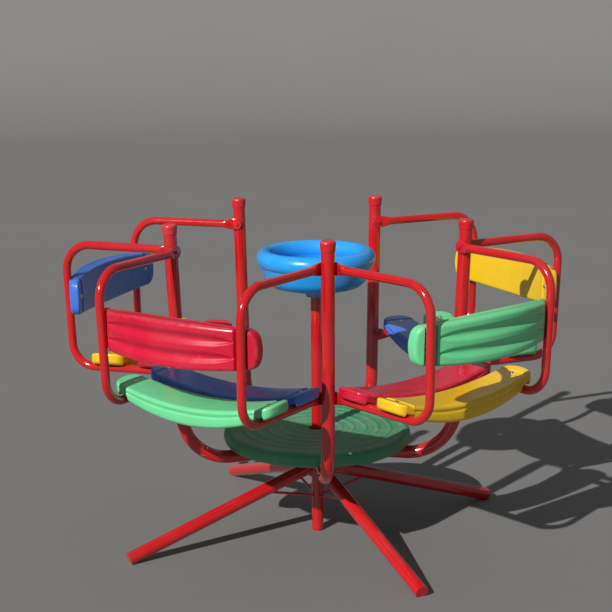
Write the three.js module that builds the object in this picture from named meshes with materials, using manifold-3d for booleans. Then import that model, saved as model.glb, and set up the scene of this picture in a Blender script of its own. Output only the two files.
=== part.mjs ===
// Playground roundabout: four curved seats and a foot disc turn on a fixed stand
// with four sloping legs, and the riders pull themselves round by a fixed hand wheel.
// Millimetres, +Z up. The origin is on the ground below the middle of the column.
// The open way in is at +Y, and the front post stands opposite it, at -Y.

import * as THREE from 'three';
import { mergeVertices } from 'three/addons/utils/BufferGeometryUtils.js';
import Module from 'manifold-3d';

const wasm = await Module();
wasm.setup();

// Driving dimensions
const SEAT_GAP = 0.3; // between pieces that touch
const BAY_ANGLE = 75.3; // between the two posts of a seat, degrees
const POST_TUBE = 38; // diameter
const POST_RADIUS = 411; // of the post's axis from the middle, at POST_RADIUS_HEIGHT
const POST_RADIUS_HEIGHT = 427;
const POST_LEAN = 2.5; // outwards at the top, degrees
const CAP_TOP = 955;
const CAP_DIAMETER = 44;
const CAP_HEIGHT = 30;
const CAP_WALL = 4;
const ARM_HEIGHT = 257; // of the arm's axis, where a post has turned in under the disc
const ARM_BEND = 142;
const RAIL_TUBE = 25;
const RAIL_UPPER = 875;
const RAIL_LOWER = 512; // where the lower run leaves the bend
const RAIL_RISE = 6; // of the lower run, from the bend up to the post
const RAIL_REACH = 350; // from the post's axis to the rail's outer upright
const RAIL_TOE_IN = 1.5; // of each rail towards the middle of its seat, degrees
const RAIL_UPPER_BEND = 82;
const RAIL_LOWER_BEND = 66;
const TAB_HEIGHT = 36; // flattened rail end
const TAB_THICKNESS = 5;
const TAB_BACK = 14; // from the bolt to the end of the tab
const TAB_FRONT = 9; // from the bolt to where the tab starts to narrow
const TUBE_START = 17.5; // from the bolt to where the rail is round
const PLANK_LENGTH = 526;
const PLANK_WIDTH = 126;
const PLANK_END_WIDTH = 106;
const PLANK_THICKNESS = 54; // in the middle
const PLANK_RADIUS = 612; // of the convex face along the plank
const PLANK_INNER_RADIUS = 980; // of the concave face
const PLANK_CORNER = 28;
const PLANK_END_BULGE = 5; // of each end between its two corners
const NOTCH_OFFSET = 223; // from the middle of the plank to each notch
const NOTCH_WIDTH = 35;
const NOTCH_DEPTH = 9;
const CHANNEL_WIDTH = 26; // of the channel across the concave face, above each notch
const CHANNEL_DEPTH = 6;
const OUTER_PLANK = 231; // from the post's axis along the rail, to the plank's middle
const INNER_PLANK = 84;
const BACKREST_HEIGHT = 718;
const DISC_RADIUS = 277;
const DISC_HOLE = 24; // radius
const DISC_TOP = 321;
const COLUMN_TUBE = 34;
const COLUMN_TOP = 752;
const COLUMN_BOTTOM = 0;
const ROTOR_HUB_RADIUS = 42;
const ROTOR_HUB_BOTTOM = 234;
const RUNNING_GAP = 0.5; // between the column and the rotor's hub
const WHEEL_HEIGHT = 830; // of the middle of the rim
const WHEEL_RIM_RADIUS = 150; // to the middle of the rim
const WHEEL_RIM_WIDTH = 46;
const WHEEL_RIM_DEPTH = 53;
const WHEEL_BOTTOM = 716; // of the hub under the bowl
const WHEEL_OPENING_INNER = 62; // radii of the four hand openings
const WHEEL_OPENING_OUTER = 126;
const WHEEL_OPENING_ANGLE = 54; // of each, degrees
const LEG_TUBE = 38;
const LEG_HUB_HEIGHT = 208; // where the legs' axes meet the column's
const LEG_REACH = 604; // to the end of the leg's axis
const LEG_END_HEIGHT = 14;
const LEG_TURN = 23.3; // of the first leg from the front post, degrees
const LEG_COUNT = 4;
const STAND_HUB_RADIUS = 28;
const STAND_HUB_BOTTOM = 172;
const STAND_HUB_TOP = 228;
const STAY_ROD = 8;
const STAY_LOW = 110; // where a stay rod leaves the column
const STAY_REACH = 160; // to where it meets the leg

// Sides of the round sections
const TUBE_SIDES = 14;
const RAIL_SIDES = 12;
const ROD_SIDES = 8;
const HUB_SIDES = 32;
const DISC_SIDES = 56;
const WHEEL_SIDES = 40;

const radians = THREE.MathUtils.degToRad;
const HALF_BAY = BAY_ANGLE / 2;
const LEAN_SLOPE = Math.tan(radians(POST_LEAN));

const paint = (name, color, roughness) =>
  new THREE.MeshStandardMaterial({ name, color, roughness, metalness: 0 });
const RED_PAINT = paint('red_paint', 0xc8101c, 0.25);
const RED_CAP = paint('red_cap', 0xcf1a26, 0.4);
const CRIMSON = paint('crimson_plastic', 0xc8143a, 0.35);
const GREEN = paint('green_plastic', 0x4cb878, 0.4);
const BLUE = paint('blue_plastic', 0x2a62c4, 0.4);
const YELLOW = paint('yellow_plastic', 0xf4c80c, 0.4);
const DISC_GREEN = paint('disc_green', 0x2f8456, 0.5);
const WHEEL_BLUE = paint('wheel_blue', 0x1a84e4, 0.4);

// Solids for cutting and joining

function solidOf(geometry) {
  const bare = geometry.index ? geometry.toNonIndexed() : geometry.clone();
  bare.deleteAttribute('normal');
  bare.deleteAttribute('uv');
  const merged = mergeVertices(bare, 1e-4);
  return new wasm.Manifold(new wasm.Mesh({
    numProp: 3,
    vertProperties: new Float32Array(merged.attributes.position.array),
    triVerts: new Uint32Array(merged.index.array),
  }));
}

function geometryOf(solid) {
  const { numProp, vertProperties, triVerts } = solid.getMesh();
  const positions = new Float32Array((vertProperties.length / numProp) * 3);
  for (let i = 0; i < positions.length / 3; i += 1) {
    positions.set(vertProperties.subarray(i * numProp, i * numProp + 3), i * 3);
  }
  const geometry = new THREE.BufferGeometry();
  geometry.setAttribute('position', new THREE.BufferAttribute(positions, 3));
  geometry.setIndex(new THREE.BufferAttribute(new Uint32Array(triVerts), 1));
  geometry.computeVertexNormals();
  return geometry;
}

// A curve that stops at given stations, so that straight runs take one step each.
class StationCurve extends THREE.Curve {
  constructor(stations) {
    super();
    this.stations = stations;
  }

  getPoint(t, target = new THREE.Vector3()) {
    const place = t * (this.stations.length - 1);
    const index = Math.min(Math.round(place), this.stations.length - 1);
    return target.copy(this.stations[index]);
  }

  getPointAt(u, target) {
    return this.getPoint(u, target);
  }

  getTangentAt(u, target = new THREE.Vector3()) {
    const last = this.stations.length - 1;
    const index = Math.round(u * last);
    const arriving = index > 0 ? this.direction(index - 1) : this.direction(0);
    const leaving = index < last ? this.direction(index) : this.direction(last - 1);
    return target.copy(arriving).add(leaving).normalize();
  }

  direction(index) {
    return this.stations[index + 1].clone().sub(this.stations[index]).normalize();
  }
}

function roundSection(diameter, sides) {
  const corners = [];
  for (let i = 0; i < sides; i += 1) {
    const angle = (2 * Math.PI * (i + 0.5)) / sides;
    corners.push(new THREE.Vector2(Math.cos(angle), Math.sin(angle)).multiplyScalar(diameter / 2));
  }
  return new THREE.Shape(corners);
}

function tube(stations, diameter, sides) {
  return new THREE.ExtrudeGeometry(roundSection(diameter, sides), {
    steps: stations.length - 1,
    extrudePath: new StationCurve(stations),
  });
}

// A turned piece: pairs of radius and height, closed on the axis or on themselves.
function turned(profile, sides) {
  const points = profile.map(([radius, height]) => new THREE.Vector2(radius, height));
  return new THREE.LatheGeometry(points, sides).rotateX(Math.PI / 2);
}

function turnedRing(profile, sides) {
  return turned([...profile, profile[0]], sides);
}

// A flat outline in the XY plane, raised from one height to another.
function prism(shape, from, to, curveSegments = 6) {
  const geometry = new THREE.ExtrudeGeometry(shape, {
    depth: to - from,
    bevelEnabled: false,
    curveSegments,
  });
  return geometry.translate(0, 0, from);
}

// The direction at an angle from the front, -Y, turning towards +X.
function heading(degrees) {
  return new THREE.Vector3(Math.sin(radians(degrees)), -Math.cos(radians(degrees)), 0);
}

function postAxis(angle, height) {
  const radius = POST_RADIUS + LEAN_SLOPE * (height - POST_RADIUS_HEIGHT);
  return heading(angle).multiplyScalar(radius).setZ(height);
}

// Rotor: posts, caps and rails

const BEND_STEPS = 7;

function postGeometry(angle) {
  const lean = radians(POST_LEAN);
  const bendTop = ARM_HEIGHT + ARM_BEND * (1 - Math.sin(lean));
  const top = postAxis(angle, CAP_TOP - CAP_WALL - SEAT_GAP);
  const start = postAxis(angle, bendTop);
  const centreRadius = Math.hypot(start.x, start.y) - ARM_BEND * Math.cos(lean);
  const stations = [top];
  for (let i = 0; i <= BEND_STEPS; i += 1) {
    const turn = -lean + ((Math.PI / 2 + lean) * i) / BEND_STEPS;
    const radius = centreRadius + ARM_BEND * Math.cos(turn);
    const height = ARM_HEIGHT + ARM_BEND - ARM_BEND * Math.sin(turn);
    stations.push(heading(angle).multiplyScalar(radius).setZ(height));
  }
  stations.push(heading(angle).multiplyScalar(ROTOR_HUB_RADIUS + SEAT_GAP).setZ(ARM_HEIGHT));
  return tube(stations, POST_TUBE, TUBE_SIDES);
}

function capGeometry() {
  const inside = POST_TUBE / 2 + SEAT_GAP;
  const outside = CAP_DIAMETER / 2;
  return turned([
    [0, -CAP_WALL],
    [inside, -CAP_WALL],
    [inside, -CAP_HEIGHT],
    [outside, -CAP_HEIGHT],
    [outside, -6],
    [outside - 2.5, -2],
    [outside - 8, 0],
    [0, 0],
  ], 18);
}

const TAB_OFFSET = POST_TUBE / 2 + SEAT_GAP + TAB_THICKNESS / 2;

// A point of the rail's plane: a reach along the rail from the bolt, and a height.
// The plane lies against the post's side and leans with the post.
function railPoint(postAngle, side, reach, height) {
  const along = postAngle + side * (HALF_BAY + RAIL_TOE_IN);
  return postAxis(postAngle, height)
    .addScaledVector(heading(along + side * 90), TAB_OFFSET)
    .addScaledVector(heading(along), reach);
}

const LOWER_RUN = RAIL_REACH - RAIL_LOWER_BEND;

function lowerRunHeight(reach) {
  return RAIL_LOWER + RAIL_RISE * (1 - reach / LOWER_RUN);
}

function railGeometry(postAngle, side) {
  const outline = new THREE.Path();
  outline.moveTo(TUBE_START, RAIL_UPPER);
  outline.lineTo(RAIL_REACH - RAIL_UPPER_BEND, RAIL_UPPER);
  outline.absarc(RAIL_REACH - RAIL_UPPER_BEND, RAIL_UPPER - RAIL_UPPER_BEND,
    RAIL_UPPER_BEND, Math.PI / 2, 0, true);
  outline.lineTo(RAIL_REACH, RAIL_LOWER + RAIL_LOWER_BEND);
  outline.absarc(RAIL_REACH - RAIL_LOWER_BEND, RAIL_LOWER + RAIL_LOWER_BEND,
    RAIL_LOWER_BEND, 0, -Math.PI / 2, true);
  outline.lineTo(TUBE_START, lowerRunHeight(TUBE_START));
  const stations = outline.getPoints(3).map(({ x, y }) => railPoint(postAngle, side, x, y));
  let solid = solidOf(tube(stations, RAIL_TUBE, RAIL_SIDES));
  for (const height of [RAIL_UPPER, lowerRunHeight(0)]) {
    solid = solid.add(solidOf(tabGeometry(postAngle, side, height)));
  }
  return geometryOf(solid);
}

// The pressed end of a rail: a strip with a round end, flat against the post.
function tabGeometry(postAngle, side, height) {
  const half = TAB_HEIGHT / 2;
  const strip = new THREE.Shape();
  const neck = RAIL_TUBE / 2 - 1;
  const neckStart = TUBE_START + 3;
  strip.moveTo(neckStart + neck, -neck);
  strip.lineTo(neckStart + neck, neck);
  strip.lineTo(neckStart, neck);
  strip.lineTo(TAB_FRONT, half);
  strip.lineTo(-TAB_BACK + half / 2, half);
  strip.lineTo(-TAB_BACK, half / 2);
  strip.lineTo(-TAB_BACK, -half / 2);
  strip.lineTo(-TAB_BACK + half / 2, -half);
  strip.lineTo(TAB_FRONT, -half);
  strip.lineTo(neckStart, -neck);
  const geometry = prism(strip, -TAB_THICKNESS / 2, TAB_THICKNESS / 2, 4);
  const along = heading(postAngle + side * (HALF_BAY + RAIL_TOE_IN));
  const up = postAxis(postAngle, height + 1).sub(postAxis(postAngle, height)).normalize();
  const across = along.clone().cross(up).normalize();
  const squareUp = across.clone().cross(along);
  const frame = new THREE.Matrix4().makeBasis(along, squareUp, across);
  frame.setPosition(railPoint(postAngle, side, 0, height));
  return geometry.applyMatrix4(frame);
}

// Rotor: the curved plank, twelve alike. Its length lies along X and its convex
// face looks down, with the lowest point of that face at the origin.

const NOTCH_FLOOR = PLANK_RADIUS - NOTCH_DEPTH;

function plankSideShape() {
  const convex = (x, depth = 0) => {
    const radius = PLANK_RADIUS - depth;
    return new THREE.Vector2(x, PLANK_RADIUS - Math.sqrt(radius ** 2 - x ** 2));
  };
  const concave = (x, depth = 0) => {
    const rise = PLANK_INNER_RADIUS - Math.sqrt(PLANK_INNER_RADIUS ** 2 - x ** 2);
    return new THREE.Vector2(x, PLANK_THICKNESS + rise - depth);
  };
  const end = PLANK_LENGTH / 2;
  const notchIn = NOTCH_OFFSET - NOTCH_WIDTH / 2;
  const notchOut = NOTCH_OFFSET + NOTCH_WIDTH / 2;
  const channelIn = NOTCH_OFFSET - CHANNEL_WIDTH / 2;
  const channelOut = NOTCH_OFFSET + CHANNEL_WIDTH / 2;
  const outline = [convex(-end), convex(-notchOut), convex(-notchOut, NOTCH_DEPTH)];
  outline.push(convex(-notchIn, NOTCH_DEPTH));
  const convexSteps = 8;
  for (let i = 0; i <= convexSteps; i += 1) {
    outline.push(convex(notchIn * ((2 * i) / convexSteps - 1)));
  }
  outline.push(convex(notchIn, NOTCH_DEPTH), convex(notchOut, NOTCH_DEPTH));
  outline.push(convex(notchOut), convex(end), concave(end), concave(channelOut));
  outline.push(concave(channelOut, CHANNEL_DEPTH), concave(channelIn, CHANNEL_DEPTH));
  const concaveSteps = 6;
  for (let i = 0; i <= concaveSteps; i += 1) {
    outline.push(concave(channelIn * (1 - (2 * i) / concaveSteps)));
  }
  outline.push(concave(-channelIn, CHANNEL_DEPTH), concave(-channelOut, CHANNEL_DEPTH));
  outline.push(concave(-channelOut), concave(-end));
  return new THREE.Shape(outline);
}

function plankPlanShape() {
  const half = PLANK_WIDTH / 2;
  const endHalf = PLANK_END_WIDTH / 2;
  const tip = PLANK_LENGTH / 2;
  const cornerX = tip - PLANK_END_BULGE - PLANK_CORNER;
  const cornerY = endHalf - PLANK_CORNER;
  const bulge = (x) => endHalf + (half - endHalf) * (1 - (x / cornerX) ** 2);
  const steps = 6;
  const shape = new THREE.Shape();
  shape.moveTo(cornerX, -endHalf);
  shape.absarc(cornerX, -cornerY, PLANK_CORNER, -Math.PI / 2, -Math.PI / 12, false);
  shape.lineTo(tip, 0);
  shape.absarc(cornerX, cornerY, PLANK_CORNER, Math.PI / 12, Math.PI / 2, false);
  for (let i = 1; i < steps; i += 1) {
    const x = cornerX * (1 - (2 * i) / steps);
    shape.lineTo(x, bulge(x));
  }
  shape.absarc(-cornerX, cornerY, PLANK_CORNER, Math.PI / 2, Math.PI * (11 / 12), false);
  shape.lineTo(-tip, 0);
  shape.absarc(-cornerX, -cornerY, PLANK_CORNER, Math.PI * (13 / 12), Math.PI * 1.5, false);
  for (let i = 1; i < steps; i += 1) {
    const x = cornerX * ((2 * i) / steps - 1);
    shape.lineTo(x, -bulge(x));
  }
  return shape;
}

function plankGeometry() {
  const side = prism(plankSideShape(), -PLANK_WIDTH, PLANK_WIDTH).rotateX(Math.PI / 2);
  const plan = prism(plankPlanShape(), -PLANK_THICKNESS, PLANK_LENGTH / 2, 2);
  return geometryOf(solidOf(side).intersect(solidOf(plan)));
}

// Rotor: hub and foot disc

function rotorHubGeometry() {
  const bore = (COLUMN_TUBE / 2 + RUNNING_GAP) / Math.cos(Math.PI / HUB_SIDES);
  const top = ARM_HEIGHT + POST_TUBE / 2;
  return turnedRing([
    [bore, ROTOR_HUB_BOTTOM],
    [ROTOR_HUB_RADIUS, ROTOR_HUB_BOTTOM],
    [ROTOR_HUB_RADIUS, top],
    [bore, top],
  ], HUB_SIDES);
}

function discGeometry() {
  const bottom = ARM_HEIGHT + POST_TUBE / 2 + SEAT_GAP;
  return turnedRing([
    [DISC_HOLE, bottom],
    [DISC_RADIUS - 16, bottom],
    [DISC_RADIUS - 6, bottom + 5],
    [DISC_RADIUS - 1, bottom + 17],
    [DISC_RADIUS, bottom + 28],
    [DISC_RADIUS - 3, DISC_TOP - 8],
    [DISC_RADIUS - 10, DISC_TOP - 2],
    [DISC_RADIUS - 20, DISC_TOP],
    [DISC_RADIUS - 28, DISC_TOP - 3],
    [DISC_HOLE, DISC_TOP - 3],
  ], DISC_SIDES);
}

// Stand: legs, hub, column, stay rods and hand wheel

const LEG_SLOPE = (LEG_HUB_HEIGHT - LEG_END_HEIGHT) / LEG_REACH;

function legAngle(index) {
  return LEG_TURN + (index * 360) / LEG_COUNT;
}

function legTube(angle, diameter) {
  const end = heading(angle).multiplyScalar(LEG_REACH).setZ(LEG_END_HEIGHT);
  return tube([new THREE.Vector3(0, 0, LEG_HUB_HEIGHT), end], diameter, TUBE_SIDES);
}

// A leg is coped to the hub and has a small flat on its underside, on the ground.
function legGeometry(angle) {
  const hub = new THREE.CylinderGeometry(STAND_HUB_RADIUS + SEAT_GAP, STAND_HUB_RADIUS + SEAT_GAP,
    2 * LEG_HUB_HEIGHT, HUB_SIDES).rotateX(Math.PI / 2).translate(0, 0, LEG_HUB_HEIGHT);
  const ground = new THREE.BoxGeometry(4 * LEG_REACH, 4 * LEG_REACH, 100).translate(0, 0, -50);
  return geometryOf(solidOf(legTube(angle, LEG_TUBE)).subtract(solidOf(hub)).subtract(solidOf(ground)));
}

function standHubGeometry() {
  const bore = (COLUMN_TUBE / 2 + SEAT_GAP) / Math.cos(Math.PI / HUB_SIDES);
  const collarTop = ROTOR_HUB_BOTTOM - RUNNING_GAP;
  const collar = STAND_HUB_RADIUS - 3;
  return turnedRing([
    [bore, STAND_HUB_BOTTOM],
    [STAND_HUB_RADIUS, STAND_HUB_BOTTOM],
    [STAND_HUB_RADIUS, STAND_HUB_TOP],
    [collar, STAND_HUB_TOP],
    [collar, collarTop],
    [bore, collarTop],
  ], HUB_SIDES);
}

function columnGeometry() {
  const radius = COLUMN_TUBE / 2;
  return new THREE.CylinderGeometry(radius, radius, COLUMN_TOP - COLUMN_BOTTOM, HUB_SIDES)
    .rotateX(Math.PI / 2).translate(0, 0, (COLUMN_TOP + COLUMN_BOTTOM) / 2);
}

// A rod from the column up to a leg's underside, coped at both ends.
function stayGeometry(angle) {
  const legHeight = LEG_HUB_HEIGHT - LEG_SLOPE * STAY_REACH;
  const stations = [new THREE.Vector3(0, 0, STAY_LOW - 4), heading(angle).multiplyScalar(STAY_REACH)
    .setZ(legHeight - LEG_TUBE / 2 + STAY_ROD)];
  const columnRadius = COLUMN_TUBE / 2 + SEAT_GAP;
  const column = new THREE.CylinderGeometry(columnRadius, columnRadius, COLUMN_TOP, HUB_SIDES)
    .rotateX(Math.PI / 2);
  return geometryOf(solidOf(tube(stations, STAY_ROD, ROD_SIDES))
    .subtract(solidOf(column))
    .subtract(solidOf(legTube(angle, LEG_TUBE + 2 * SEAT_GAP))));
}

// The wheel is a bowl: an oval rim, a sloping wall with four hand openings, and a
// hub with a socket for the column.
function wheelGeometry() {
  const rim = [];
  const rimSides = 12;
  for (let i = 0; i < rimSides; i += 1) {
    const angle = (2 * Math.PI * i) / rimSides;
    rim.push([WHEEL_RIM_RADIUS + (WHEEL_RIM_WIDTH / 2) * Math.cos(angle),
      WHEEL_HEIGHT + (WHEEL_RIM_DEPTH / 2) * Math.sin(angle)]);
  }
  const socket = (COLUMN_TUBE / 2 + SEAT_GAP) / Math.cos(Math.PI / HUB_SIDES);
  const ceiling = COLUMN_TOP + SEAT_GAP;
  const bowl = [
    [0, ceiling],
    [socket, ceiling],
    [socket, WHEEL_BOTTOM],
    [30, WHEEL_BOTTOM],
    [34, 734],
    [95, 736],
    [124, 746],
    [148, 770],
    [161, 810],
    [145, 822],
    [134, 790],
    [116, 766],
    [92, 758],
    [44, 757],
    [30, 766],
    [0, 768],
  ];
  let solid = solidOf(turned(bowl, WHEEL_SIDES)).add(solidOf(turnedRing(rim, WHEEL_SIDES)));
  const half = radians(WHEEL_OPENING_ANGLE / 2);
  const opening = new THREE.Shape();
  opening.absarc(0, 0, WHEEL_OPENING_OUTER, -half, half, false);
  opening.absarc(0, 0, WHEEL_OPENING_INNER, half, -half, true);
  for (let i = 0; i < 4; i += 1) {
    const cutter = prism(opening, WHEEL_BOTTOM - 10, WHEEL_HEIGHT - WHEEL_RIM_DEPTH / 2 + 2, 3)
      .rotateZ(radians(45 + 90 * i));
    solid = solid.subtract(solidOf(cutter));
  }
  return geometryOf(solid);
}

// The whole object

const roundabout = new THREE.Group();
const stand = new THREE.Group();
const rotor = new THREE.Group();
roundabout.add(stand, rotor);

function addPiece(parent, name, geometry, material) {
  const mesh = new THREE.Mesh(geometry, material);
  mesh.name = name;
  parent.add(mesh);
  return mesh;
}

addPiece(stand, 'stand_hub', standHubGeometry(), RED_PAINT);
addPiece(stand, 'centre_column', columnGeometry(), RED_PAINT);
addPiece(stand, 'hand_wheel', wheelGeometry(), WHEEL_BLUE);
for (let i = 0; i < LEG_COUNT; i += 1) {
  addPiece(stand, `leg_${i + 1}`, legGeometry(legAngle(i)), RED_PAINT);
  addPiece(stand, `stay_rod_${i + 1}`, stayGeometry(legAngle(i)), RED_PAINT);
}

addPiece(rotor, 'rotor_hub', rotorHubGeometry(), RED_PAINT);
addPiece(rotor, 'foot_disc', discGeometry(), DISC_GREEN);

const POSTS = {
  front_post: 0,
  left_post: -BAY_ANGLE,
  right_post: BAY_ANGLE,
  rear_left_post: -2 * BAY_ANGLE,
  rear_right_post: 2 * BAY_ANGLE,
};

for (const [name, angle] of Object.entries(POSTS)) {
  addPiece(rotor, name, postGeometry(angle), RED_PAINT);
  const cap = addPiece(rotor, `${name}_cap`, capGeometry(), RED_CAP);
  const top = postAxis(angle, CAP_TOP);
  const axis = top.clone().sub(postAxis(angle, 0)).normalize();
  cap.position.copy(top);
  cap.quaternion.setFromUnitVectors(new THREE.Vector3(0, 0, 1), axis);
}

// Each seat: its angle, the angles of its posts on the left and right as seen from
// outside, and the colours of its backrest, outer plank and inner plank.
const SEATS = {
  front_left: { angle: -HALF_BAY, colours: [CRIMSON, GREEN, BLUE] },
  front_right: { angle: HALF_BAY, colours: [GREEN, YELLOW, CRIMSON] },
  rear_left: { angle: -3 * HALF_BAY, colours: [BLUE, YELLOW, CRIMSON] },
  rear_right: { angle: 3 * HALF_BAY, colours: [YELLOW, GREEN, BLUE] },
};

// Half the distance between a seat's two rails, and their distance from the middle
// of the roundabout, at a reach along the rails and a height.
function railSpacing(reach, height) {
  const point = railPoint(-HALF_BAY, 1, reach, height);
  return { half: -point.x, out: -point.y };
}

// The middle of a plank's convex arc lies this far from the axis of the rail that
// its notch rests on.
const NESTED_RADIUS = NOTCH_FLOOR + RAIL_TUBE / 2 + SEAT_GAP;

// The seat planks lie on the lower runs, and slope with them.
const SEAT_SLOPE = Math.atan(RAIL_RISE / LOWER_RUN);

function seatPlankPlace(reach) {
  const height = lowerRunHeight(reach);
  const outerEdge = railSpacing(reach + PLANK_WIDTH / 2, height);
  const arcHeight = height + Math.sqrt(NESTED_RADIUS ** 2 - outerEdge.half ** 2);
  return new THREE.Vector3(0, -railSpacing(reach, height).out, arcHeight - PLANK_RADIUS);
}

// The rails' uprights lean with the posts, and the backrest leans with them.
const BACK_LEAN = Math.atan(LEAN_SLOPE * Math.cos(radians(HALF_BAY)));

function backrestPlace() {
  const low = railSpacing(RAIL_REACH, BACKREST_HEIGHT - PLANK_WIDTH / 2);
  const middle = railSpacing(RAIL_REACH, BACKREST_HEIGHT);
  const arcIn = Math.sqrt(NESTED_RADIUS ** 2 - low.half ** 2);
  return new THREE.Vector3(0, -middle.out + arcIn - PLANK_RADIUS, BACKREST_HEIGHT);
}

for (const [name, { angle, colours }] of Object.entries(SEATS)) {
  const seat = new THREE.Group();
  seat.rotation.z = radians(angle);
  rotor.add(seat);
  const backrest = addPiece(seat, `${name}_backrest`, plankGeometry(), colours[0]);
  backrest.position.copy(backrestPlace());
  backrest.rotation.x = -(Math.PI / 2 - BACK_LEAN);
  const outerPlank = addPiece(seat, `${name}_outer_plank`, plankGeometry(), colours[1]);
  outerPlank.position.copy(seatPlankPlace(OUTER_PLANK));
  outerPlank.rotation.x = SEAT_SLOPE;
  const innerPlank = addPiece(seat, `${name}_inner_plank`, plankGeometry(), colours[2]);
  innerPlank.position.copy(seatPlankPlace(INNER_PLANK));
  innerPlank.rotation.x = SEAT_SLOPE;
  addPiece(rotor, `${name}_rail_left`, railGeometry(angle - HALF_BAY, 1), RED_PAINT);
  addPiece(rotor, `${name}_rail_right`, railGeometry(angle + HALF_BAY, -1), RED_PAINT);
}

export default roundabout;
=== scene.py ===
"""Dresses a playground roundabout: a fixed stand with a hand wheel, and a turning
part with five posts, tube rails, twelve moulded planks and a foot disc.

Metres, +Z up. The origin is on the ground below the column, the front post stands
at -Y, and the open way in is at +Y. Angles are in degrees from the front, turning
towards +X.
"""

import bpy
import numpy as np
from mathutils import Matrix, Vector


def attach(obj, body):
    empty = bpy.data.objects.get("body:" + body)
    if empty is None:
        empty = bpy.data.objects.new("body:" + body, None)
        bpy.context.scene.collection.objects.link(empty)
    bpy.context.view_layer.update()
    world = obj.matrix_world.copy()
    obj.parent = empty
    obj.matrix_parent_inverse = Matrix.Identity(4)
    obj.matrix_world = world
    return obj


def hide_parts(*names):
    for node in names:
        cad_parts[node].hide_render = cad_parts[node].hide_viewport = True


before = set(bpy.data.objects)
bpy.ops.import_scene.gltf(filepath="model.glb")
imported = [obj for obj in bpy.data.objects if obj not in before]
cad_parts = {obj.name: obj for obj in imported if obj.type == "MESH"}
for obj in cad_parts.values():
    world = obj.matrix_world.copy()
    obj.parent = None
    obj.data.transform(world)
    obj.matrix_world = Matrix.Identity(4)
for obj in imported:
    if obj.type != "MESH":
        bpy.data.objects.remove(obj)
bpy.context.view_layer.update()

bl_info = {
    "name": "Playground roundabout",
    "version": (1, 0, 0),
    "blender": (4, 5, 0),
    "location": "View3D > Sidebar > Roundabout",
    "description": "Builds the detailed pieces, finishes and stage of a playground roundabout",
    "category": "Object",
}

# Places that the solids fix, repeated here because the pieces have to meet them
BAY_ANGLE = 75.3
HALF_BAY = BAY_ANGLE / 2
POSTS = {
    "front_post": 0.0,
    "left_post": -BAY_ANGLE,
    "right_post": BAY_ANGLE,
    "rear_left_post": -2 * BAY_ANGLE,
    "rear_right_post": 2 * BAY_ANGLE,
}
POST_RADIUS = 0.411
POST_RADIUS_HEIGHT = 0.427
POST_LEAN = 2.5
LEAN_SLOPE = np.tan(np.radians(POST_LEAN))
POST_TOP = 0.9507
CAP_TOP = 0.955
ARM_HEIGHT = 0.257
ARM_BEND = 0.142
ROTOR_HUB_RADIUS = 0.042
ROTOR_HUB_BOTTOM = 0.234
ROTOR_HUB_TOP = 0.276
RAIL_UPPER = 0.875
RAIL_LOWER = 0.512
RAIL_RISE = 0.006
RAIL_REACH = 0.350
RAIL_TOE_IN = 1.5
RAIL_UPPER_BEND = 0.082
RAIL_LOWER_BEND = 0.066
LOWER_RUN = RAIL_REACH - RAIL_LOWER_BEND
TAB_OFFSET = 0.0218
TAB_BACK = 0.014
TAB_ROUND = 0.018
PRESSED_SPAN = (0.009, 0.046)
NESTED_RADIUS = 0.6158
OUTER_PLANK = 0.231
INNER_PLANK = 0.084
HALF_PLANK = 0.063
BACKREST_HEIGHT = 0.718
COLUMN_TOP = 0.752
WHEEL_HEIGHT = 0.830
DISC_UNDER = 0.2763
LEG_HUB_HEIGHT = 0.208
LEG_START = 0.024
LEG_REACH = 0.604
LEG_END_HEIGHT = 0.014
LEG_SLOPE = (LEG_HUB_HEIGHT - LEG_END_HEIGHT) / LEG_REACH
LEG_TURN = 23.3
STAY_START = 0.015
STAY_REACH = 0.160
STAY_HEIGHT = 0.110
STAY_SINK = 0.006
STAND_HUB_RADIUS = 0.028
STAND_HUB_TOP = 0.232

# Each seat's angle, and the colours of its backrest, outer plank and inner plank
SEATS = {
    "front_left": (-HALF_BAY, ("crimson_plastic", "green_plastic", "blue_plastic")),
    "front_right": (HALF_BAY, ("green_plastic", "yellow_plastic", "crimson_plastic")),
    "rear_left": (-3 * HALF_BAY, ("blue_plastic", "yellow_plastic", "crimson_plastic")),
    "rear_right": (3 * HALF_BAY, ("yellow_plastic", "green_plastic", "blue_plastic")),
}

# The photograph's sun, left of the front and above the floor, and its camera
SUN_AZIMUTH = 38.5
SUN_ELEVATION = 34.0
CAMERA_PLACE = (-0.33098, -4.58358, 1.66376)
CAMERA_YAW_PITCH_ROLL = (3.754, -12.008, -0.422)
CAMERA_LENS = 94.73


# Settings that a user would change


def length(name, description, default):
    """A size in metres with its name, its description and its default."""
    return bpy.props.FloatProperty(
        name=name, description=description, default=default, min=0.0, unit="LENGTH", precision=4
    )


def tint(name, description, default):
    """A surface colour as linear red, green and blue."""
    return bpy.props.FloatVectorProperty(
        name=name, description=description, default=default, min=0.0, max=1.0, size=3, subtype="COLOR"
    )


class TubeSettings(bpy.types.PropertyGroup):
    """Sizes of the painted tubework."""

    post: length("Post tube", "Diameter of the posts and their arms", 0.038)
    rail: length("Rail tube", "Diameter of the rails", 0.0244)
    tab_height: length("Tab height", "Height of a rail's pressed end", 0.036)
    tab_thickness: length("Tab thickness", "Thickness of a rail's pressed end", 0.005)
    leg: length("Leg tube", "Diameter of the legs", 0.038)
    column: length("Column", "Diameter of the column", 0.034)
    stay: length("Stay rod", "Diameter of the stay rods", 0.008)
    bead: length("Weld bead", "Thickness of the weld beads", 0.0052)


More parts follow.
